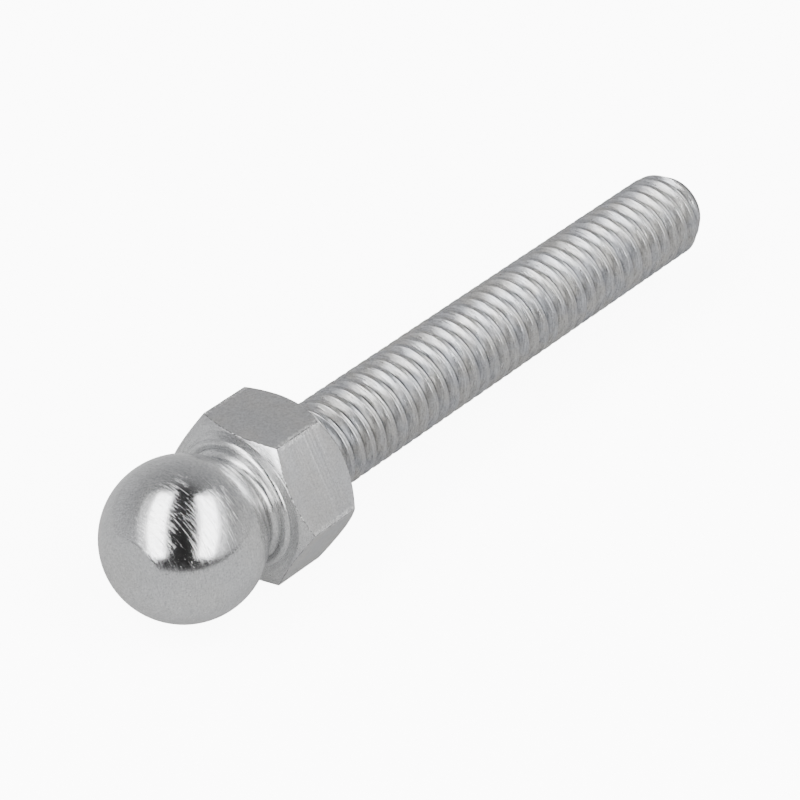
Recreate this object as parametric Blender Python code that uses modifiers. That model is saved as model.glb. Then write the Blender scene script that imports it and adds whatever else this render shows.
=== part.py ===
"""Ball-ended threaded spindle.

A head is turned from hexagon bar: a ball, a short neck, a collar and the hexagon itself.
A rolled threaded stem is screwed into a blind tapped hole in the back of the hexagon and locked there.
The origin is the ball's centre, +X runs along the stem away from the ball, and a hexagon flat faces +Z.
Every piece is modelled about its own +Z, and the empty that carries them lays that axis along +X.
"""

import math

import bmesh
import bpy
from mathutils import Vector

MILLIMETRE = 0.001

# Ball
BALL_DIAMETER = 10.0 * MILLIMETRE
POLE_FLAT_DIAMETER = 4.4 * MILLIMETRE
PIP_DIAMETER = 0.6 * MILLIMETRE
PIP_TOP_DIAMETER = 0.36 * MILLIMETRE
PIP_HEIGHT = 0.12 * MILLIMETRE

# Neck and collar
NECK_DIAMETER = 6.3 * MILLIMETRE
NECK_LENGTH = 0.62 * MILLIMETRE
NECK_FILLET_RADIUS = 0.4 * MILLIMETRE
COLLAR_HEIGHT = 0.2 * MILLIMETRE
COLLAR_TO_FLAT = 0.7 * MILLIMETRE

# Hexagon
ACROSS_FLATS = 9.9 * MILLIMETRE
HEX_LENGTH = 5.0 * MILLIMETRE
FACE_TO_FLAT = 0.1 * MILLIMETRE
FRONT_CHAMFER_ANGLE = math.radians(32.0)
BACK_CHAMFER_ANGLE = math.radians(44.0)

# Thread
THREAD_DIAMETER = 5.8 * MILLIMETRE
THREAD_PITCH = 1.0 * MILLIMETRE
FLANK_ANGLE = math.radians(30.0)
CREST_SHARE = 1 / 8
ROOT_SHARE = 1 / 4

# Stem
STEM_STANDOUT = 38.9 * MILLIMETRE
END_CHAMFER_LENGTH = 1.2 * MILLIMETRE
END_FACE_DIAMETER = 4.4 * MILLIMETRE

# Tapped hole
HOLE_FLOOR = 0.5 * MILLIMETRE
DRILL_POINT_ANGLE = math.radians(118.0)
COUNTERSINK_DIAMETER = THREAD_DIAMETER + 1.1 * MILLIMETRE

# Clearances and how finely round shapes are divided
CLEARANCE = 0.3 * MILLIMETRE
OVERCUT = 0.5 * MILLIMETRE
MERGE_DISTANCE = 0.002 * MILLIMETRE
TURNED_STEPS = 48
THREAD_STEPS = 20
BALL_STEP_ANGLE = math.radians(7.5)
FILLET_STEPS = 4
SHARP_ANGLE = math.radians(32.0)
HEX_SIDES = 6

# Places along the axis, from the ball's centre
BALL_RADIUS = BALL_DIAMETER / 2
NECK_START = math.sqrt(BALL_RADIUS**2 - (NECK_DIAMETER / 2) ** 2)
HEX_FRONT = NECK_START + NECK_LENGTH
HEX_BACK = HEX_FRONT + HEX_LENGTH
COLLAR_FRONT = HEX_FRONT - COLLAR_HEIGHT
COLLAR_RADIUS = ACROSS_FLATS / 2 - COLLAR_TO_FLAT
FACE_RADIUS = ACROSS_FLATS / 2 - FACE_TO_FLAT
CORNER_RADIUS = ACROSS_FLATS / 2 / math.cos(math.pi / HEX_SIDES)
HOLE_BOTTOM = HEX_FRONT + HOLE_FLOOR
STEM_START = HOLE_BOTTOM + CLEARANCE
STEM_END = HEX_BACK + STEM_STANDOUT
THREAD_DEPTH = THREAD_PITCH * (1 - CREST_SHARE - ROOT_SHARE) / 2 / math.tan(FLANK_ANGLE)


def clear_scene():
    for old in list(bpy.data.objects):
        bpy.data.objects.remove(old, do_unlink=True)


def new_collection(name):
    collection = bpy.data.collections.new(name)
    bpy.context.scene.collection.children.link(collection)
    return collection


def new_metal(name, colour, roughness):
    """A plain Principled metal in the piece's own colour."""
    metal = bpy.data.materials.new(name)
    metal.use_nodes = True
    shader = metal.node_tree.nodes["Principled BSDF"]
    shader.inputs["Base Color"].default_value = (*colour, 1.0)
    shader.inputs["Metallic"].default_value = 1.0
    shader.inputs["Roughness"].default_value = roughness
    metal.diffuse_color = (*colour, 1.0)
    return metal


def new_object(name, bm, collection, parent):
    """An object on the spindle's axis from a finished bmesh."""
    mesh = bpy.data.meshes.new(name)
    bm.to_mesh(mesh)
    bm.free()
    obj = bpy.data.objects.new(name, mesh)
    obj.parent = parent
    collection.objects.link(obj)
    return obj


def make_cutter(obj):
    obj.hide_render = True
    obj.display_type = "WIRE"


def profile_mesh(points):
    """A turned outline in the XZ plane, from (radius, height) points that run from the top down."""
    bm = bmesh.new()
    verts = [bm.verts.new((radius, 0.0, height)) for radius, height in points]
    for upper, lower in zip(verts, verts[1:]):
        bm.edges.new((upper, lower))
    return bm


def turn(obj):
    """Turns an outline into a closed round body about +Z."""
    lathe = obj.modifiers.new("turned", "SCREW")
    lathe.axis = "Z"
    lathe.angle = math.tau
    lathe.steps = TURNED_STEPS
    lathe.render_steps = TURNED_STEPS
    lathe.use_merge_vertices = True
    lathe.merge_threshold = MERGE_DISTANCE
    lathe.use_smooth_shade = True


def combine(obj, other, operation):
    boolean = obj.modifiers.new(other.name, "BOOLEAN")
    boolean.operation = operation
    boolean.solver = "EXACT"
    boolean.object = other


def smooth(mesh):
    """Shades a mesh smooth, except across its machined edges."""
    mesh.shade_smooth()
    mesh.set_sharp_from_angle(angle=SHARP_ANGLE)


def arc(centre, radius, start, end, steps):
    """(radius, height) points on an arc, with its angles measured from the outward direction to +Z."""
    points = []
    for step in range(steps + 1):
        angle = start + (end - start) * step / steps
        points.append((centre[0] + radius * math.cos(angle), centre[1] + radius * math.sin(angle)))
    return points


def ball_and_neck_outline():
    """The outline of the turned front of the head, from inside the hexagon down to the pip."""
    fillet_centre = (NECK_DIAMETER / 2 + NECK_FILLET_RADIUS, COLLAR_FRONT - NECK_FILLET_RADIUS)
    neck_angle = math.acos(NECK_DIAMETER / 2 / BALL_RADIUS)
    pole_angle = -math.acos(POLE_FLAT_DIAMETER / 2 / BALL_RADIUS)
    pole_height = BALL_RADIUS * math.sin(pole_angle)
    ball_steps = math.ceil((neck_angle - pole_angle) / BALL_STEP_ANGLE)
    points = [(0.0, HOLE_BOTTOM), (COLLAR_RADIUS, HOLE_BOTTOM)]
    points += [(COLLAR_RADIUS, HEX_FRONT), (COLLAR_RADIUS - COLLAR_HEIGHT, COLLAR_FRONT)]
    points += arc(fillet_centre, NECK_FILLET_RADIUS, math.pi / 2, math.pi, FILLET_STEPS)
    points += arc((0.0, 0.0), BALL_RADIUS, neck_angle, pole_angle, ball_steps)
    points += [(PIP_DIAMETER / 2, pole_height), (PIP_TOP_DIAMETER / 2, pole_height - PIP_HEIGHT)]
    points.append((0.0, pole_height - PIP_HEIGHT))
    return points


def hexagon_envelope_outline():
    """A drum around the hexagon, whose two cones chamfer the hexagon's corners."""
    drum_radius = CORNER_RADIUS + OVERCUT
    front_rise = (drum_radius - FACE_RADIUS) * math.tan(FRONT_CHAMFER_ANGLE)
    back_rise = (drum_radius - FACE_RADIUS) * math.tan(BACK_CHAMFER_ANGLE)
    return [
        (0.0, HEX_BACK),
        (FACE_RADIUS, HEX_BACK),
        (drum_radius, HEX_BACK - back_rise),
        (drum_radius, HEX_FRONT + front_rise),
        (FACE_RADIUS, HEX_FRONT),
        (0.0, HEX_FRONT),
    ]


def countersink_outline():
    """A cone that opens the mouth of the tapped hole, so that a part can lie flat on the hexagon's back."""
    mouth = COUNTERSINK_DIAMETER / 2
    core = THREAD_DIAMETER / 2 - THREAD_DEPTH
    tip = HEX_BACK - (mouth - core)
    return [(0.0, HEX_BACK + OVERCUT), (mouth + OVERCUT, HEX_BACK + OVERCUT), (core, tip), (0.0, tip)]


def hexagon_bar():
    """A length of hexagon bar, longer than the finished hexagon, with a flat towards -X."""
    bm = bmesh.new()
    length = HEX_LENGTH + 2 * OVERCUT
    bmesh.ops.create_cone(
        bm, cap_ends=True, segments=HEX_SIDES, radius1=CORNER_RADIUS, radius2=CORNER_RADIUS, depth=length
    )
    bmesh.ops.translate(bm, vec=(0.0, 0.0, (HEX_FRONT + HEX_BACK) / 2), verts=bm.verts)
    return bm


def thread_outline(growth):
    """One pitch of the thread as (radius, rise) points, from one root to the next."""
    crest = THREAD_DIAMETER / 2 + growth
    root = crest - THREAD_DEPTH
    flank = (1 - CREST_SHARE - ROOT_SHARE) / 2
    rises = (0.0, ROOT_SHARE, ROOT_SHARE + flank, ROOT_SHARE + flank + CREST_SHARE, 1.0)
    return [(radius, rise * THREAD_PITCH) for radius, rise in zip((root, root, crest, crest, root), rises)]


def trim_end(bm, height, outwards):
    """Cuts the thread off square at a height and closes the end with a flat face."""
    everything = [*bm.verts, *bm.edges, *bm.faces]
    bmesh.ops.bisect_plane(
        bm,
        geom=everything,
        dist=MERGE_DISTANCE,
        plane_co=(0.0, 0.0, height),
        plane_no=(0.0, 0.0, outwards),
        clear_outer=True,
    )
    rim = [edge for edge in bm.edges if edge.is_boundary and all(at_height(v, height) for v in edge.verts)]
    bmesh.ops.holes_fill(bm, edges=rim)


def at_height(vert, height):
    return abs(vert.co.z - height) < MERGE_DISTANCE


def chamfer_end(bm, height, outwards, face_radius):
    """Turns the thread down to a cone that reaches face_radius at its end."""
    slope = (THREAD_DIAMETER / 2 - END_FACE_DIAMETER / 2) / END_CHAMFER_LENGTH
    for vert in bm.verts:
        allowed = face_radius + (height - vert.co.z) * outwards * slope
        radius = math.hypot(vert.co.x, vert.co.y)
        if radius > allowed:
            vert.co.xy *= allowed / radius


def thread_body(start, end, growth):
    """A closed threaded body between two heights. All of them share one helix, so they mesh."""
    first_turn = math.floor(start / THREAD_PITCH) - 1
    turns = math.ceil(end / THREAD_PITCH) + 1 - first_turn
    outline = [(radius, rise + first_turn * THREAD_PITCH) for radius, rise in thread_outline(growth)]
    bm = profile_mesh(outline)
    bmesh.ops.spin(
        bm,
        geom=[*bm.verts, *bm.edges],
        axis=(0.0, 0.0, 1.0),
        cent=(0.0, 0.0, 0.0),
        dvec=(0.0, 0.0, THREAD_PITCH / THREAD_STEPS),
        angle=math.tau * turns,
        steps=THREAD_STEPS * turns,
    )
    bmesh.ops.remove_doubles(bm, verts=bm.verts, dist=MERGE_DISTANCE)
    trim_end(bm, end, 1.0)
    trim_end(bm, start, -1.0)
    return bm


def stem_mesh():
    bm = thread_body(STEM_START, STEM_END, 0.0)
    chamfer_end(bm, STEM_END, 1.0, END_FACE_DIAMETER / 2)
    chamfer_end(bm, STEM_START, -1.0, END_FACE_DIAMETER / 2)
    bmesh.ops.recalc_face_normals(bm, faces=bm.faces)
    return bm


def tapped_hole_mesh():
    """The space that a drill and a tap leave: the stem's thread grown by the clearance, on a drill point."""
    bm = thread_body(HOLE_BOTTOM, HEX_BACK + OVERCUT, CLEARANCE)
    drill_radius = END_FACE_DIAMETER / 2 + CLEARANCE
    chamfer_end(bm, HOLE_BOTTOM, -1.0, drill_radius)
    floor = [face for face in bm.faces if all(at_height(vert, HOLE_BOTTOM) for vert in face.verts)]
    tip = bmesh.ops.poke(bm, faces=floor)["verts"]
    for vert in tip:
        vert.co = Vector((0.0, 0.0, HOLE_BOTTOM - drill_radius / math.tan(DRILL_POINT_ANGLE / 2)))
    bmesh.ops.recalc_face_normals(bm, faces=bm.faces)
    return bm


def build_head(parts, cutters, axis):
    """Ball, neck and collar joined to the chamfered hexagon, then drilled and tapped from the back."""
    envelope = new_object("chamfer_envelope", profile_mesh(hexagon_envelope_outline()), cutters, axis)
    envelope.rotation_euler.z = math.pi / TURNED_STEPS
    turn(envelope)
    hexagon = new_object("hexagon_bar", hexagon_bar(), cutters, axis)
    combine(hexagon, envelope, "INTERSECT")
    hole = new_object("tapped_hole", tapped_hole_mesh(), cutters, axis)
    countersink = new_object("hole_countersink", profile_mesh(countersink_outline()), cutters, axis)
    turn(countersink)
    for cutter in (envelope, hexagon, hole, countersink):
        make_cutter(cutter)
    head = new_object("ball_hex_head", profile_mesh(ball_and_neck_outline()), parts, axis)
    turn(head)
    combine(head, hexagon, "UNION")
    combine(head, hole, "DIFFERENCE")
    combine(head, countersink, "DIFFERENCE")
    head.data.materials.append(new_metal("zinc_plated_head", (0.66, 0.66, 0.67), 0.34))


def build_stem(parts, axis):
    stem = new_object("threaded_stem", stem_mesh(), parts, axis)
    smooth(stem.data)
    stem.data.materials.append(new_metal("zinc_plated_stem", (0.70, 0.71, 0.72), 0.30))


def main():
    clear_scene()
    parts = new_collection("ball_ended_spindle")
    cutters = new_collection("cutters")
    axis = bpy.data.objects.new("spindle_axis", None)
    axis.rotation_euler = (0.0, math.pi / 2, 0.0)
    parts.objects.link(axis)
    build_head(parts, cutters, axis)
    build_stem(parts, axis)


main()
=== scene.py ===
import math

import bmesh
import bpy
from mathutils import Matrix, Quaternion, Vector, noise


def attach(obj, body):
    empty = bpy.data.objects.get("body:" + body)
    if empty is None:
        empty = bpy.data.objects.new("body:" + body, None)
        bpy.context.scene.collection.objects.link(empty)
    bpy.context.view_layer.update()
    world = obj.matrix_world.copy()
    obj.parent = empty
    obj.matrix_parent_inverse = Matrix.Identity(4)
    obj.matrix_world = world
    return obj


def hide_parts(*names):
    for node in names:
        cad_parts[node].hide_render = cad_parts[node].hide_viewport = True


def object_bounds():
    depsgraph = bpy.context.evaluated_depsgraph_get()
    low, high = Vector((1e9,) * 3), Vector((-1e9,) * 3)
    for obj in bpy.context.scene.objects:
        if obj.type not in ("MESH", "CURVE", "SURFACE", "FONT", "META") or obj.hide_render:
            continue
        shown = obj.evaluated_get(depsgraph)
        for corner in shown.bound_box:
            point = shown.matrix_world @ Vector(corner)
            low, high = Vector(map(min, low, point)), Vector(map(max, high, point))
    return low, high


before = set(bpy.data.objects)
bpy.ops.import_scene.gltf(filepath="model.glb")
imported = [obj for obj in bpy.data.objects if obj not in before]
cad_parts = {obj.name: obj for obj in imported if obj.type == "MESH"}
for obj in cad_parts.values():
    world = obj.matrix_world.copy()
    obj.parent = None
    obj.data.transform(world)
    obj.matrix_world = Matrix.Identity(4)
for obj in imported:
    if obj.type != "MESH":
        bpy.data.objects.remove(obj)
cad_low, cad_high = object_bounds()
MM = 0.001

# ----------------------------------------------------------------------------------------------------
# Camera. A long lens looks down on the spindle from the ball's end, so the ball is near and the stem
# runs away from it.
# ----------------------------------------------------------------------------------------------------
aim_point = Vector((19.78, 0.0, -0.55)) * MM
view_heading = math.radians(39.09)
view_drop = math.radians(34.18)
view_roll = math.radians(0.52)
view_distance = 228.7 * MM
lens_length = 167.2
sensor_width = 36.0

looking = Vector((
    math.cos(view_heading) * math.cos(view_drop),
    math.sin(view_heading) * math.cos(view_drop),
    -math.sin(view_drop),
))
camera_data = bpy.data.cameras.new("studio_camera")
camera_data.sensor_width = sensor_width
camera_data.lens = lens_length
camera_data.clip_start = 0.01
camera_data.clip_end = 10.0
camera = bpy.data.objects.new("studio_camera", camera_data)
camera.location = aim_point - looking * view_distance
camera.rotation_mode = "QUATERNION"
camera.rotation_quaternion = looking.to_track_quat("-Z", "Y") @ Quaternion((0.0, 0.0, 1.0), view_roll)
bpy.context.scene.collection.objects.link(camera)
bpy.context.scene.camera = camera

# ----------------------------------------------------------------------------------------------------
# Floor. A plain pale sheet under the ball. Metal sees it as mid grey, so that bright parts don't wash
# out, and sees it end a few centimetres in front of the spindle.
# ----------------------------------------------------------------------------------------------------
floor_height = cad_low.z
floor_radius = 3.0
sheet_end = (42.0 * MM, 54.0 * MM)
past_end = 0.08
grey_shade = 0.24
grey_glow = 0.32
white_shade = 0.86
white_glow = 9.0

floor_bm = bmesh.new()
bmesh.ops.create_circle(floor_bm, cap_ends=True, segments=64, radius=floor_radius)
bmesh.ops.translate(floor_bm, vec=(0.0, 0.0, floor_height), verts=floor_bm.verts)
floor_mesh = bpy.data.meshes.new("floor")
floor_bm.to_mesh(floor_mesh)
floor_bm.free()
floor = bpy.data.objects.new("floor", floor_mesh)
bpy.context.scene.collection.objects.link(floor)


def feed(tree, socket, value):
    """Sets a socket to a plain value, or links it to another node's output."""
    if isinstance(value, bpy.types.NodeSocket):
        tree.links.new(value, socket)
    else:
        socket.default_value = value


def calculate(tree, operation, first, second=None):
    """A Math node. Each value is a number or another node's output."""
    node = tree.nodes.new("ShaderNodeMath")
    node.operation = operation
    feed(tree, node.inputs[0], first)
    if second is not None:
        feed(tree, node.inputs[1], second)
    return node.outputs[0]


def ramp_between(tree, value, low, high, to_low=0.0, to_high=1.0, curve="SMOOTHSTEP"):
    """A ramp from to_low to to_high, while the value goes from low to high."""
    node = tree.nodes.new("ShaderNodeMapRange")
    node.interpolation_type = curve
    ends = (("From Min", low), ("From Max", high), ("To Min", to_low), ("To Max", to_high))
    for name, number in ends:
        node.inputs[name].default_value = number
    tree.links.new(value, node.inputs["Value"])
    return node.outputs["Result"]


def dot_with(tree, vector, direction):
    """How far a vector reaches along a fixed direction."""
    node = tree.nodes.new("ShaderNodeVectorMath")
    node.operation = "DOT_PRODUCT"
    node.inputs[1].default_value = direction
    tree.links.new(vector, node.inputs[0])
    return node.outputs["Value"]


paper = bpy.data.materials.new("pale_paper")
paper.use_nodes = True
tree = paper.node_tree
tree.nodes.clear()


def lit_sheet(shade, glow):
    """A diffuse sheet that also glows with the light that comes through it."""
    diffuse = tree.nodes.new("ShaderNodeBsdfDiffuse")
    emission = tree.nodes.new("ShaderNodeEmission")
    together = tree.nodes.new("ShaderNodeAddShader")
    feed(tree, diffuse.inputs["Color"], shade)
    feed(tree, emission.inputs["Strength"], glow)
    tree.links.new(diffuse.outputs[0], together.inputs[0])
    tree.links.new(emission.outputs[0], together.inputs[1])
    return together.outputs[0]


toward_camera = Vector((-math.cos(view_heading), -math.sin(view_heading), 0.0))
sheet_place = tree.nodes.new("ShaderNodeTexCoord").outputs["Object"]
sheet_left = ramp_between(tree, dot_with(tree, sheet_place, toward_camera), *sheet_end, 1.0, past_end)
grey_sheet = lit_sheet(calculate(tree, "MULTIPLY", sheet_left, grey_shade),
                       calculate(tree, "MULTIPLY", sheet_left, grey_glow))
white_sheet = lit_sheet((white_shade, white_shade, white_shade, 1.0), white_glow)
seen_by = tree.nodes.new("ShaderNodeLightPath")
mix = tree.nodes.new("ShaderNodeMixShader")
paper_out = tree.nodes.new("ShaderNodeOutputMaterial")
tree.links.new(seen_by.outputs["Is Camera Ray"], mix.inputs[0])
tree.links.new(grey_sheet, mix.inputs[1])
tree.links.new(white_sheet, mix.inputs[2])
tree.links.new(mix.outputs[0], paper_out.inputs["Surface"])
floor_mesh.materials.append(paper)

# ----------------------------------------------------------------------------------------------------
# Lights. Two long softboxes lean over the spindle, one each side of the camera. The tent around them
# is grey. The gap between the softboxes is dark, and so is a low bar at the camera's side.
# ----------------------------------------------------------------------------------------------------
tent_size = 0.6
softbox_glow = 8.0
diffuser_glow = 1.05
diffuser_width = 1.7
diffuser_setback = 0.04
gap_side = (0.921, 0.301, 0.231)
gap_side_blur = 0.10
gap_back = (0.0, 0.92, 0.22)
gap_back_blur = 0.12
bar_height = (0.11, 0.15)
bar_ends = (0.55, 0.72)
dark_grey = 0.02
# The tent's grey at each height, from the horizon at 0 to straight up at 1
tent_greys = (
    (0.0, 0.82), (0.17, 0.76), (0.5, 0.56), (0.7, 0.50), (0.84, 0.38), (0.92, 0.22), (0.97, 0.05),
)
tent_blueness = 1.01

camera_right = Vector((math.sin(view_heading), -math.cos(view_heading), 0.0))
straight_up = Vector((0.0, 0.0, 1.0))


def studio_direction(across, toward, up):
    """A direction given across the camera's view, toward the camera, and up."""
    return camera_right * across + toward_camera * toward + straight_up * up


# Each softbox: the near and far ends of its inner edge, and the way out to its outer edge
softboxes = {
    "left": ((-0.33, 0.91, 0.18), (-0.20, -0.14, 1.06), (-0.28, -0.20, -0.065)),
    "right": ((0.37, 0.895, 0.185), (0.25, -0.12, 0.95), (0.27, -0.19, -0.075)),
}
# Behind each one, its diffuser glows faintly over a wider patch
lamps = [(side, corners, 1.0, softbox_glow) for side, corners in softboxes.items()]
lamps += [(side + "_diffuser", corners, diffuser_width, diffuser_glow)
          for side, corners in softboxes.items()]
for side, corners, width, glow_level in lamps:
    distance = tent_size * (1.0 + diffuser_setback * (width - 1.0))
    near, far, out = (studio_direction(*corner) * distance for corner in corners)
    out *= width
    along = (far - near).normalized()
    out -= along * out.dot(along)
    facing_away = out.cross(along).normalized()
    if facing_away.dot(near) < 0.0:
        along = -along
        facing_away = -facing_away
    light = bpy.data.lights.new("softbox_" + side, "AREA")
    light.shape = "RECTANGLE"
    light.size = out.length
    light.size_y = (far - near).length
    light.energy = glow_level * light.size * light.size_y * math.pi
    lamp = bpy.data.objects.new("softbox_" + side, light)
    turned = Matrix((out.normalized(), along, facing_away)).transposed()
    lamp.matrix_world = Matrix.Translation((near + far + out) / 2) @ turned.to_4x4()
    bpy.context.scene.collection.objects.link(lamp)

world = bpy.data.worlds.new("light_tent")
bpy.context.scene.world = world
world.use_nodes = True
sky = world.node_tree
sky.nodes.clear()
sky_place = sky.nodes.new("ShaderNodeTexCoord").outputs["Generated"]


def above_edge(edge, softness):
    """How far a direction of view lies on the positive side of an edge of the tent, from 0 to 1."""
    return ramp_between(sky, dot_with(sky, sky_place, edge.normalized()), -softness, softness)


def mix_colours(tree, factor, first, second):
    """A colour mix. Each value is a plain one or another node's output."""
    node = tree.nodes.new("ShaderNodeMix")
    node.data_type = "RGBA"
    for name, value in (("Factor", factor), ("A", first), ("B", second)):
        feed(tree, node.inputs[name], value)
    return node.outputs["Result"]


left_edge = above_edge(studio_direction(*gap_side), gap_side_blur)
right_edge = above_edge(studio_direction(-gap_side[0], *gap_side[1:]), gap_side_blur)
back_edge = above_edge(studio_direction(*gap_back), gap_back_blur)
gap = calculate(sky, "MULTIPLY", calculate(sky, "MULTIPLY", left_edge, right_edge), back_edge)
height = sky.nodes.new("ShaderNodeSeparateXYZ")
sky.links.new(sky_place, height.inputs[0])
low_down = ramp_between(sky, height.outputs["Z"], *bar_height, 1.0, 0.0, curve="LINEAR")
in_front = ramp_between(sky, dot_with(sky, sky_place, toward_camera), *bar_ends)
dark = calculate(sky, "MAXIMUM", gap, calculate(sky, "MULTIPLY", low_down, in_front))
tent = sky.nodes.new("ShaderNodeValToRGB")
sky.links.new(height.outputs["Z"], tent.inputs[0])
for stop in range(len(tent_greys) - 2):
    tent.color_ramp.elements.new(0.5)
for element, (place, grey) in zip(tent.color_ramp.elements, tent_greys):
    element.position = place
    element.color = (grey, grey, grey * tent_blueness, 1.0)
tent_seen = mix_colours(sky, dark, tent.outputs["Color"], (dark_grey, dark_grey, dark_grey, 1.0))
sky_seen = sky.nodes.new("ShaderNodeLightPath")
sky_glow = sky.nodes.new("ShaderNodeBackground")
sky_out = sky.nodes.new("ShaderNodeOutputWorld")
white_sky = (white_glow, white_glow, white_glow, 1.0)
sky_colour = mix_colours(sky, sky_seen.outputs["Is Camera Ray"], tent_seen, white_sky)
sky.links.new(sky_colour, sky_glow.inputs["Color"])
sky.links.new(sky_glow.outputs[0], sky_out.inputs["Surface"])

# ----------------------------------------------------------------------------------------------------
# Head. One piece turned from hexagon bar: ball, neck, collar and chamfered hexagon, drilled from the
# back for the stem. The ball is finely turned, the hexagon's flats are the drawn faces of the bar, and
# all of it is zinc plated.
# ----------------------------------------------------------------------------------------------------
ball_radius = 4.999 * MM
pole_flat_radius = 2.2 * MM
pip_radius = 0.28 * MM
pip_height = 0.06 * MM
neck_sweep = 0.413 * MM
neck_centre_x = 3.997 * MM
neck_centre_r = 3.65 * MM
across_flats = 9.9 * MM
hex_front = 4.503 * MM
hex_back = 9.503 * MM
bead_radius = 0.35 * MM
bead_centre_x = 4.62 * MM
bead_centre_r = 3.93 * MM
bead_start = 233.0
bead_end = 110.0
groove_width = 0.06 * MM
face_lean = 0.01 * MM
rim_lip = 0.1 * MM
rim_x = 4.555 * MM
rim_radius = 4.93 * MM
face_radius = 4.85 * MM
back_lip = 0.05 * MM
front_chamfer = math.radians(32.0)
back_chamfer = math.radians(44.0)
hole_radius = 3.02 * MM
hole_countersink = 0.25 * MM
hole_bottom = 5.0 * MM
drill_point = 1.6 * MM
head_steps = 192
ball_steps = 56
small_arc_steps = 16
corner_cuts = 40
edge_round = 0.055 * MM
edge_burr = 0.008 * MM
fine_burr = 0.12 * MM
coarse_burr = 0.5 * MM
burr_starts = 0.5 * MM
burr_seed = 7
weld = 0.001 * MM
cut_tolerance = 0.0005 * MM
flat_tolerance = 0.00002 * MM


def arc(centre_x, centre_r, radius, start, end, steps):
    """(x, radius) points on an arc, with angles in degrees from +X towards outwards."""
    angles = [math.radians(start + (end - start) * i / steps) for i in range(steps + 1)]
    return [(centre_x + radius * math.cos(a), centre_r + radius * math.sin(a)) for a in angles]


def turn(outline, steps):
    """Turns (x, radius) points about the spindle's axis into a closed bmesh."""
    bm = bmesh.new()
    verts = [bm.verts.new((x, 0.0, radius)) for x, radius in outline]
    for first, second in zip(verts, verts[1:]):
        bm.edges.new((first, second))
    bmesh.ops.spin(bm, geom=[*bm.verts, *bm.edges], axis=(1.0, 0.0, 0.0), cent=(0.0, 0.0, 0.0),
                   angle=math.tau, steps=steps, use_merge=True)
    bmesh.ops.remove_doubles(bm, verts=bm.verts, dist=weld)
    bmesh.ops.recalc_face_normals(bm, faces=bm.faces)
    return bm


pole_x = -math.sqrt(ball_radius**2 - pole_flat_radius**2)
pole_angle = 180.0 - math.degrees(math.asin(pole_flat_radius / ball_radius))
neck_angle = math.degrees(math.atan2(neck_centre_r, neck_centre_x))
corner_radius = across_flats / 2 / math.cos(math.radians(30.0))
drum_radius = corner_radius + 0.3 * MM

# The pip that the tool leaves at the pole, and the small flat round it
head_outline = [(pole_x - pip_height, 0.0), (pole_x - pip_height * 0.9, pip_radius * 0.4)]
head_outline += [(pole_x - pip_height * 0.4, pip_radius * 0.75), (pole_x, pip_radius)]
head_outline += [(pole_x, pole_flat_radius * share) for share in (0.3, 0.6, 0.94)]
# The ball, the neck's sweep and the collar's bead
head_outline += arc(0.0, 0.0, ball_radius, pole_angle - 0.8, neck_angle, ball_steps)
head_outline += arc(neck_centre_x, neck_centre_r, neck_sweep, 180.0 + neck_angle, 360.0, small_arc_steps)[1:]
head_outline += arc(bead_centre_x, bead_centre_r, bead_radius, bead_start, bead_end, small_arc_steps)
# The hexagon's front face, its outside with both chamfers, and its back face
head_outline.append((hex_front + face_lean, bead_centre_r + bead_radius + groove_width))
head_outline.append((rim_x - face_lean, rim_radius - rim_lip))
head_outline.append((rim_x, rim_radius))
head_outline.append((rim_x + (drum_radius - rim_radius) * math.tan(front_chamfer), drum_radius))
head_outline.append((hex_back - (drum_radius - face_radius) * math.tan(back_chamfer), drum_radius))
head_outline += [(hex_back, face_radius), (hex_back, face_radius - back_lip)]
# The drilled hole for the stem
head_outline += [(hex_back, hole_radius + hole_countersink), (hex_back - hole_countersink, hole_radius)]
head_outline += [(hole_bottom, hole_radius), (hole_bottom - drill_point, 0.0)]

head_bm = turn(head_outline, head_steps)
flat_angles = [math.radians(60.0 * side) for side in range(6)]
for angle in flat_angles:
    square_to = Vector((0.0, math.sin(angle), math.cos(angle)))
    barrel = [face for face in head_bm.faces if face.calc_center_median().x > hex_front]
    barrel += [vert for vert in head_bm.verts if vert.co.x > hex_front]
    barrel += [edge for edge in head_bm.edges if min(v.co.x for v in edge.verts) > hex_front]
    bmesh.ops.bisect_plane(head_bm, geom=barrel, dist=cut_tolerance, plane_co=square_to * across_flats / 2,
                           plane_no=square_to, clear_outer=True)
    rim = [edge for edge in head_bm.edges if edge.is_boundary]
    for face in bmesh.ops.holes_fill(head_bm, edges=rim)["faces"]:
        face.material_index = 1
corner_edges = [edge for edge in head_bm.edges
                if len(edge.link_faces) == 2 and all(face.material_index == 1 for face in edge.link_faces)]
bmesh.ops.subdivide_edges(head_bm, edges=corner_edges, cuts=corner_cuts)
flat_rims = [edge for edge in head_bm.edges if any(face.material_index == 1 for face in edge.link_faces)]
rounded = bmesh.ops.bevel(head_bm, geom=flat_rims, offset=edge_round, offset_type="OFFSET", segments=3,
                          profile=0.5, affect="EDGES", material=-1, clamp_overlap=True)

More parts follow.
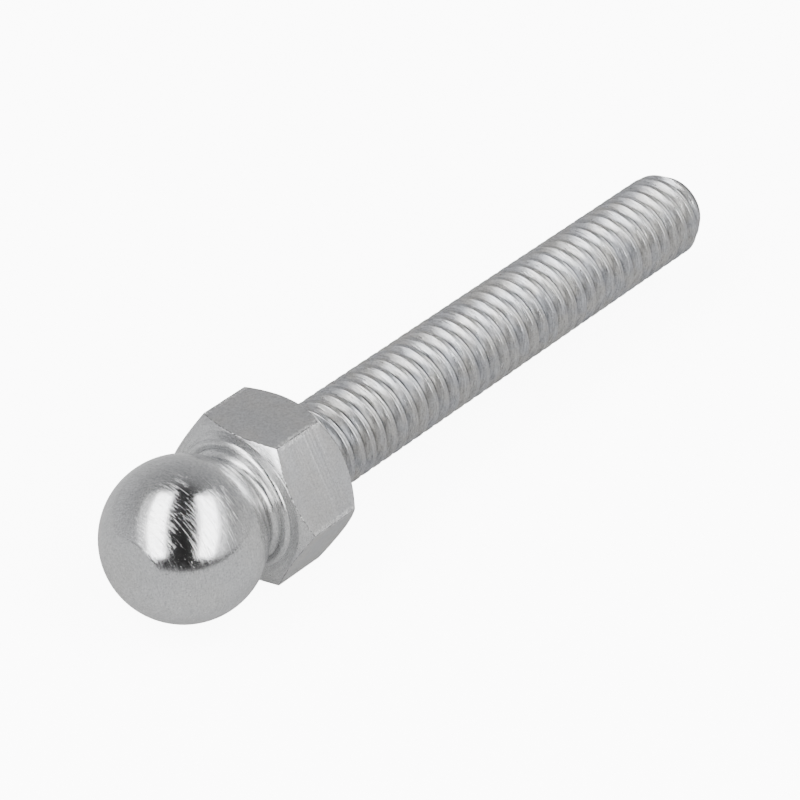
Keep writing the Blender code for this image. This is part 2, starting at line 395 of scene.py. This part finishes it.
# The bevel hands back its neighbours too, so each face is sorted by how far it lies below the flats:
# 1 is a flat, 2 is a rounded corner, and 0 is left as turned. The corners are then roughened a little.
rounded_faces = []
for face in rounded["faces"]:
    middle = face.calc_center_median()
    reach = max(middle.z * math.cos(angle) + middle.y * math.sin(angle) for angle in flat_angles)
    sunk = across_flats / 2 - reach
    face.material_index = 1 if sunk < flat_tolerance else 2 if sunk < edge_round else 0
    if face.material_index == 2:
        rounded_faces.append(face)
noise.seed_set(burr_seed)
for vert in {vert for face in rounded_faces for vert in face.verts}:
    ragged = noise.noise_vector(vert.co / fine_burr) + noise.noise_vector(vert.co / coarse_burr)
    vert.co += ragged * edge_burr * min(1.0, (vert.co.x - hex_front) / burr_starts)
    reach = math.hypot(vert.co.y, vert.co.z)
    vert.co.yz *= min(1.0, corner_radius / reach)
    vert.co.x = min(vert.co.x, hex_back)

head_mesh = bpy.data.meshes.new("ball_and_hexagon")
head_bm.to_mesh(head_mesh)
head_bm.free()
head_mesh.shade_smooth()
head_mesh.set_sharp_from_angle(angle=math.radians(38.0))
head = bpy.data.objects.new("ball_and_hexagon", head_mesh)
bpy.context.scene.collection.objects.link(head)
even_shading = head.modifiers.new("even_shading", "WEIGHTED_NORMAL")
even_shading.keep_sharp = True
even_shading.weight = 60


def new_group(name, inputs, outputs):
    """An empty node group: inputs as (name, socket type, default), outputs as (name, socket type)."""
    group = bpy.data.node_groups.new(name, "ShaderNodeTree")
    for socket_name, kind, default in inputs:
        socket = group.interface.new_socket(name=socket_name, in_out="INPUT", socket_type=kind)
        if default is not None:
            socket.default_value = default
    for socket_name, kind in outputs:
        group.interface.new_socket(name=socket_name, in_out="OUTPUT", socket_type=kind)
    return group, group.nodes.new("NodeGroupInput"), group.nodes.new("NodeGroupOutput")


def weighted_sum(tree, start, *parts):
    """A number, plus each (output, weight) part."""
    total = start
    for value, weight in parts:
        total = calculate(tree, "ADD", calculate(tree, "MULTIPLY", value, weight), total)
    return total


def noise_at(tree, vector, scale, detail, roughness):
    node = tree.nodes.new("ShaderNodeTexNoise")
    sockets = (("Vector", vector), ("Scale", scale), ("Detail", detail), ("Roughness", roughness))
    for name, value in sockets:
        feed(tree, node.inputs[name], value)
    return node.outputs["Fac"]


def separate(tree, place):
    node = tree.nodes.new("ShaderNodeSeparateXYZ")
    tree.links.new(place, node.inputs[0])
    return node.outputs


def distance_off_axis(tree, parts):
    """How far a place, given as its separate X, Y and Z, lies from the spindle's axis."""
    squares = [calculate(tree, "MULTIPLY", parts[name], parts[name]) for name in ("Y", "Z")]
    return calculate(tree, "SQRT", calculate(tree, "ADD", *squares))


# Turning marks: fine lines left round the axis by the tool, with a few longer scratches among them.
marks, marks_in, marks_out = new_group(
    "turning_marks",
    [("Place", "NodeSocketVector", None), ("Along", "NodeSocketFloat", 0.0),
     ("Lines per mm", "NodeSocketFloat", 18.0), ("Arcs", "NodeSocketFloat", 2.5)],
    [("Height", "NodeSocketFloat"), ("Scratch", "NodeSocketFloat")],
)
parts = separate(marks, marks_in.outputs["Place"])
off_axis = calculate(marks, "MAXIMUM", distance_off_axis(marks, parts), 0.01 * MM)
ring = marks.nodes.new("ShaderNodeCombineXYZ")
line_count = calculate(marks, "MULTIPLY", marks_in.outputs["Along"], marks_in.outputs["Lines per mm"])
marks.links.new(line_count, ring.inputs["X"])
for name in ("Y", "Z"):
    around = calculate(marks, "DIVIDE", parts[name], off_axis)
    marks.links.new(calculate(marks, "MULTIPLY", around, marks_in.outputs["Arcs"]), ring.inputs[name])
fine_lines = noise_at(marks, ring.outputs[0], scale=1.0, detail=3.0, roughness=0.65)
marks.links.new(fine_lines, marks_out.inputs["Height"])
sparse = noise_at(marks, ring.outputs[0], scale=0.8, detail=2.0, roughness=0.5)
marks.links.new(ramp_between(marks, sparse, 0.58, 0.68), marks_out.inputs["Scratch"])

# Zinc bloom: the plating's faint drift between a cool and a warm grey, with fine grain and streaks.
bloom, bloom_in, bloom_out = new_group(
    "zinc_bloom",
    [("Place", "NodeSocketVector", None), ("Cool", "NodeSocketColor", (0.6, 0.62, 0.65, 1.0)),
     ("Warm", "NodeSocketColor", (0.64, 0.63, 0.6, 1.0)), ("Patches", "NodeSocketFloat", 300.0),
     ("Streaks", "NodeSocketFloat", 0.5), ("Streak depth", "NodeSocketFloat", 0.0)],
    [("Color", "NodeSocketColor"), ("Dullness", "NodeSocketFloat")],
)
grain_depth = 1.1
drift = noise_at(bloom, bloom_in.outputs["Place"], bloom_in.outputs["Patches"], detail=3.0, roughness=0.5)
tint = mix_colours(bloom, ramp_between(bloom, drift, 0.35, 0.65), bloom_in.outputs["Cool"],
                   bloom_in.outputs["Warm"])
grain = noise_at(bloom, bloom_in.outputs["Place"], scale=9000.0, detail=3.0, roughness=0.7)
shade = weighted_sum(
    bloom, 1.0,
    (calculate(bloom, "SUBTRACT", grain, 0.5), grain_depth),
    (calculate(bloom, "SUBTRACT", bloom_in.outputs["Streaks"], 0.5), bloom_in.outputs["Streak depth"]),
)
mottle = bloom.nodes.new("ShaderNodeVectorMath")
mottle.operation = "SCALE"
bloom.links.new(tint, mottle.inputs[0])
bloom.links.new(shade, mottle.inputs["Scale"])
bloom.links.new(mottle.outputs[0], bloom_out.inputs["Color"])
bloom.links.new(grain, bloom_out.inputs["Dullness"])


def start_metal(name, cool, warm, patches):
    """A zinc-plated material: a Principled metal whose colour drifts with the bloom group."""
    metal = bpy.data.materials.new(name)
    metal.use_nodes = True
    tree = metal.node_tree
    shader = tree.nodes["Principled BSDF"]
    shader.inputs["Metallic"].default_value = 1.0
    place = tree.nodes.new("ShaderNodeTexCoord").outputs["Object"]
    patina = tree.nodes.new("ShaderNodeGroup")
    patina.node_tree = bloom
    patina.inputs["Cool"].default_value = (*cool, 1.0)
    patina.inputs["Warm"].default_value = (*warm, 1.0)
    patina.inputs["Patches"].default_value = patches
    tree.links.new(place, patina.inputs["Place"])
    tree.links.new(patina.outputs["Color"], shader.inputs["Base Color"])
    return metal, tree, shader, place, patina


def add_marks(tree, place, along, lines_per_mm, arcs):
    """Puts the turning marks in a material, and gives back their height and their scratches."""
    node = tree.nodes.new("ShaderNodeGroup")
    node.node_tree = marks
    sockets = (("Place", place), ("Along", along), ("Lines per mm", lines_per_mm), ("Arcs", arcs))
    for name, value in sockets:
        feed(tree, node.inputs[name], value)
    return node.outputs["Height"], node.outputs["Scratch"]


def add_bump(tree, shader, height, depth):
    bump = tree.nodes.new("ShaderNodeBump")
    bump.inputs["Strength"].default_value = 1.0
    bump.inputs["Distance"].default_value = depth
    tree.links.new(height, bump.inputs["Height"])
    tree.links.new(bump.outputs["Normal"], shader.inputs["Normal"])


# Turned zinc: the ball, neck, collar and chamfers. The marks are counted round the ball from its pole,
# and outwards from its centre, so they follow the neck and the chamfers as well.
turned_zinc, tree, shader, place, patina = start_metal(
    "turned_zinc", cool=(0.60, 0.605, 0.615), warm=(0.61, 0.61, 0.607), patches=260.0)
parts = separate(tree, place)
off_axis = distance_off_axis(tree, parts)
swing = calculate(tree, "ARCTAN2", off_axis, calculate(tree, "MULTIPLY", parts["X"], -1.0))
from_centre = tree.nodes.new("ShaderNodeVectorMath")
from_centre.operation = "LENGTH"
tree.links.new(place, from_centre.inputs[0])
along = weighted_sum(tree, 0.0, (swing, ball_radius / MM), (from_centre.outputs["Value"], 1.0 / MM))
tool_lines, tool_scratch = add_marks(tree, place, along, lines_per_mm=27.0, arcs=4.0)
tree.links.new(tool_lines, patina.inputs["Streaks"])
patina.inputs["Streak depth"].default_value = 0.75

# Cross scratches: the same marks on a slant, from handling
slant = tree.nodes.new("ShaderNodeVectorRotate")
slant.inputs["Axis"].default_value = (0.3, 1.0, 0.25)
slant.inputs["Angle"].default_value = math.radians(24.0)
tree.links.new(place, slant.inputs["Vector"])
slant_place = slant.outputs[0]
slant_along = calculate(tree, "MULTIPLY", separate(tree, slant_place)["X"], 1.0 / MM)
handling_scratch = add_marks(tree, slant_place, slant_along, lines_per_mm=20.0, arcs=5.0)[1]

# Specks and worn patches, and a rougher finish from the neck on
speck = ramp_between(tree, noise_at(tree, place, scale=15000.0, detail=2.0, roughness=0.6), 0.48, 0.68)
worn = ramp_between(tree, noise_at(tree, place, scale=900.0, detail=2.0, roughness=0.5), 0.40, 0.60, 0.3)
off_ball = ramp_between(tree, parts["X"], 2.7 * MM, 3.5 * MM)
rough = weighted_sum(tree, 0.125, (tool_scratch, 0.10), (calculate(tree, "MULTIPLY", speck, worn), 0.10),
                     (off_ball, 0.11))
tree.links.new(rough, shader.inputs["Roughness"])
speck_height = calculate(tree, "MULTIPLY", speck, weighted_sum(tree, 0.2, (off_ball, 0.5)))
relief = weighted_sum(tree, speck_height, (tool_lines, 1.0), (tool_scratch, 1.0), (handling_scratch, 0.6))
add_bump(tree, shader, relief, 0.0022 * MM)

# Faint rings round the pip, on the small flat only
ring_spacing = 0.38 * MM
ring_shade = 0.14
rings = calculate(tree, "SINE", calculate(tree, "MULTIPLY", off_axis, math.tau / ring_spacing))
rings = calculate(tree, "MULTIPLY", ramp_between(tree, rings, 0.55, 1.0, 0.0, ring_shade),
                  ramp_between(tree, off_axis, 0.7 * MM, 1.2 * MM, 1.0, 0.0))
rings = calculate(tree, "MULTIPLY", rings, ramp_between(tree, parts["X"], -4.2 * MM, 0.0, 1.0, 0.0))
ringed = mix_colours(tree, rings, patina.outputs["Color"], (0.2, 0.2, 0.2, 1.0))
tree.links.new(ringed, shader.inputs["Base Color"])

# Drawn zinc: the hexagon's flats, matt and finely grained, rubbed brighter here and there along the
# corners.
drawn_zinc, tree, shader, place, patina = start_metal(
    "drawn_zinc", cool=(0.49, 0.495, 0.505), warm=(0.51, 0.506, 0.50), patches=420.0)
fine_grain = noise_at(tree, place, scale=9000.0, detail=3.0, roughness=0.65)
stretch = tree.nodes.new("ShaderNodeMapping")
stretch.inputs["Scale"].default_value = (0.12, 1.0, 1.0)
tree.links.new(place, stretch.inputs["Vector"])
drawn_grain = noise_at(tree, stretch.outputs[0], scale=9000.0, detail=2.0, roughness=0.5)
off_axis = distance_off_axis(tree, separate(tree, place))
by_corner = ramp_between(tree, off_axis, 5.54 * MM, 5.65 * MM)
chipped = ramp_between(tree, noise_at(tree, place, scale=5500.0, detail=3.0, roughness=0.7), 0.50, 0.57)
rubbed = calculate(tree, "MULTIPLY", by_corner, chipped)
brightened = mix_colours(tree, rubbed, patina.outputs["Color"], (0.86, 0.86, 0.85, 1.0))
tree.links.new(brightened, shader.inputs["Base Color"])
rough = weighted_sum(tree, 0.36, (patina.outputs["Dullness"], 0.10), (rubbed, -0.14))
tree.links.new(rough, shader.inputs["Roughness"])
relief = weighted_sum(tree, 0.0, (fine_grain, 1.6), (drawn_grain, 0.05), (rubbed, 14.0))
add_bump(tree, shader, relief, 0.0006 * MM)

# Worn zinc: the corners, where the flats meet the chamfers and each other, dark in the nicks and
# bright between.
worn_zinc, tree, shader, place, patina = start_metal(
    "worn_zinc", cool=(0.66, 0.67, 0.68), warm=(0.72, 0.71, 0.70), patches=900.0)
nick = noise_at(tree, place, scale=5200.0, detail=3.0, roughness=0.7)
grime = ramp_between(tree, nick, 0.47, 0.58, 1.0, 0.0)
grimy = mix_colours(tree, grime, patina.outputs["Color"], (0.05, 0.05, 0.052, 1.0))
tree.links.new(grimy, shader.inputs["Base Color"])
tree.links.new(ramp_between(tree, nick, 0.4, 0.6, 0.45, 0.25), shader.inputs["Roughness"])
add_bump(tree, shader, nick, 0.02 * MM)

for metal in (turned_zinc, drawn_zinc, worn_zinc):
    head_mesh.materials.append(metal)
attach(head, "root")
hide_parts("ball_hex_head")

# ----------------------------------------------------------------------------------------------------
# Stem. A length of rolled M6 thread, chamfered at both ends, screwed into the hexagon and locked.
# Rolling leaves rounded crests and roots, and the plating is a shade darker than on the head.
# ----------------------------------------------------------------------------------------------------
crest_radius = 2.9 * MM
pitch = 1.0 * MM
crest_round = 0.08 * MM
crest_dip = 0.03 * MM
root_round = 0.10 * MM
flank_reach = 0.39 * MM
thread_arc_steps = 3
stem_start = 5.303 * MM
stem_end = 48.403 * MM
end_face_radius = 2.2 * MM
end_chamfer_length = 1.2 * MM
stem_steps = 90
thread_phase = 0.84
seam_weld = 0.003 * MM
rolling_error = 0.012 * MM
rolling_error_length = 2.2 * MM
rolling_error_sides = 1.6
thread_depth = flank_reach * math.sqrt(3.0) - crest_round - root_round
root_radius = crest_radius - thread_depth


def thread_outline():
    """One pitch of the thread as (x, radius) points, root to root. Rolling doesn't quite fill the crest."""
    root_arc = arc(0.0, root_radius + root_round, root_round, 270.0, 330.0, thread_arc_steps)
    crest_arc = arc(flank_reach, crest_radius - crest_round, crest_round, 150.0, 65.0, thread_arc_steps)
    rising = root_arc + crest_arc + [(pitch / 2, crest_radius - crest_dip)]
    falling = [(pitch - x, radius) for x, radius in reversed(rising[:-1])]
    return rising + falling


# One turn is wound as a helix, then doubled until it is long enough, and both ends are cut square
first_turn = stem_start - 2.0 * pitch + thread_phase * pitch
stem_bm = bmesh.new()
stem_verts = [stem_bm.verts.new((x + first_turn, 0.0, radius)) for x, radius in thread_outline()]
for first, second in zip(stem_verts, stem_verts[1:]):
    stem_bm.edges.new((first, second))
bmesh.ops.spin(stem_bm, geom=[*stem_bm.verts, *stem_bm.edges], axis=(1.0, 0.0, 0.0), cent=(0.0, 0.0, 0.0),
               dvec=(pitch / stem_steps, 0.0, 0.0), angle=math.tau, steps=stem_steps)
turns = 1
while turns * pitch < stem_end - stem_start + 3.0 * pitch:
    more = bmesh.ops.duplicate(stem_bm, geom=[*stem_bm.verts, *stem_bm.edges, *stem_bm.faces])["geom"]
    more_verts = [part for part in more if isinstance(part, bmesh.types.BMVert)]
    bmesh.ops.translate(stem_bm, vec=(turns * pitch, 0.0, 0.0), verts=more_verts)
    turns *= 2
bmesh.ops.remove_doubles(stem_bm, verts=stem_bm.verts, dist=seam_weld)
for x, outwards in ((stem_start, -1.0), (stem_end, 1.0)):
    bmesh.ops.bisect_plane(stem_bm, geom=[*stem_bm.verts, *stem_bm.edges, *stem_bm.faces],
                           dist=cut_tolerance, plane_co=(x, 0.0, 0.0), plane_no=(outwards, 0.0, 0.0),
                           clear_outer=True)
    rim = [edge for edge in stem_bm.edges
           if edge.is_boundary and all(abs(v.co.x - x) < weld for v in edge.verts)]
    bmesh.ops.holes_fill(stem_bm, edges=rim)

# The crests wander a little, as rolled ones do, and the chamfers take them down at both ends
slope = (crest_radius - end_face_radius) / end_chamfer_length
for vert in stem_bm.verts:
    outward = Vector((0.0, vert.co.y, vert.co.z)).normalized()
    wander_at = Vector((vert.co.x / rolling_error_length, *(outward.yz * rolling_error_sides)))
    vert.co += outward * rolling_error * (noise.noise(wander_at) - 0.5)
    to_end = min(vert.co.x - stem_start, stem_end - vert.co.x)
    allowed = end_face_radius + to_end * slope
    radius = math.hypot(vert.co.y, vert.co.z)
    if radius > allowed:
        vert.co.y *= allowed / radius
        vert.co.z *= allowed / radius
bmesh.ops.recalc_face_normals(stem_bm, faces=stem_bm.faces)
stem_mesh = bpy.data.meshes.new("rolled_stem")
stem_bm.to_mesh(stem_mesh)
stem_bm.free()
stem_mesh.shade_smooth()
stem_mesh.set_sharp_from_angle(angle=math.radians(50.0))
stem = bpy.data.objects.new("rolled_stem", stem_mesh)
bpy.context.scene.collection.objects.link(stem)

rolled_zinc, tree, shader, place, patina = start_metal(
    "rolled_zinc", cool=(0.425, 0.435, 0.455), warm=(0.455, 0.45, 0.438), patches=650.0)
parts = separate(tree, place)
along = calculate(tree, "MULTIPLY", parts["X"], 1.0 / MM)
tool_lines, tool_scratch = add_marks(tree, place, along, lines_per_mm=18.0, arcs=3.0)
tree.links.new(tool_lines, patina.inputs["Streaks"])
patina.inputs["Streak depth"].default_value = 1.6

# Painted shade: the colour darkens to near black at the bottom of the groove, where the crests would shade
# it, and most of all towards the top of the stem, which sees less of the white floor
off_axis = distance_off_axis(tree, parts)
root_shade_mask = ramp_between(tree, off_axis, root_radius + 0.02 * MM, root_radius + 0.15 * MM, 1.0, 0.0)
shade_toward_top = ramp_between(tree, parts["Z"], -0.6 * MM, 1.6 * MM)
# Painted shade mixed into the plating's colour at the groove's bottom
root_shaded_colour = mix_colours(tree, calculate(tree, "MULTIPLY", root_shade_mask, shade_toward_top), patina.outputs["Color"],
                      (0.10, 0.102, 0.107, 1.0))
tree.links.new(root_shaded_colour, shader.inputs["Base Color"])
rough = weighted_sum(tree, 0.30, (tool_scratch, -0.08), (patina.outputs["Dullness"], 0.08))
tree.links.new(rough, shader.inputs["Roughness"])
add_bump(tree, shader, calculate(tree, "ADD", tool_lines, tool_scratch), 0.011 * MM)
stem_mesh.materials.append(rolled_zinc)
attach(stem, "root")
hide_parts("threaded_stem")
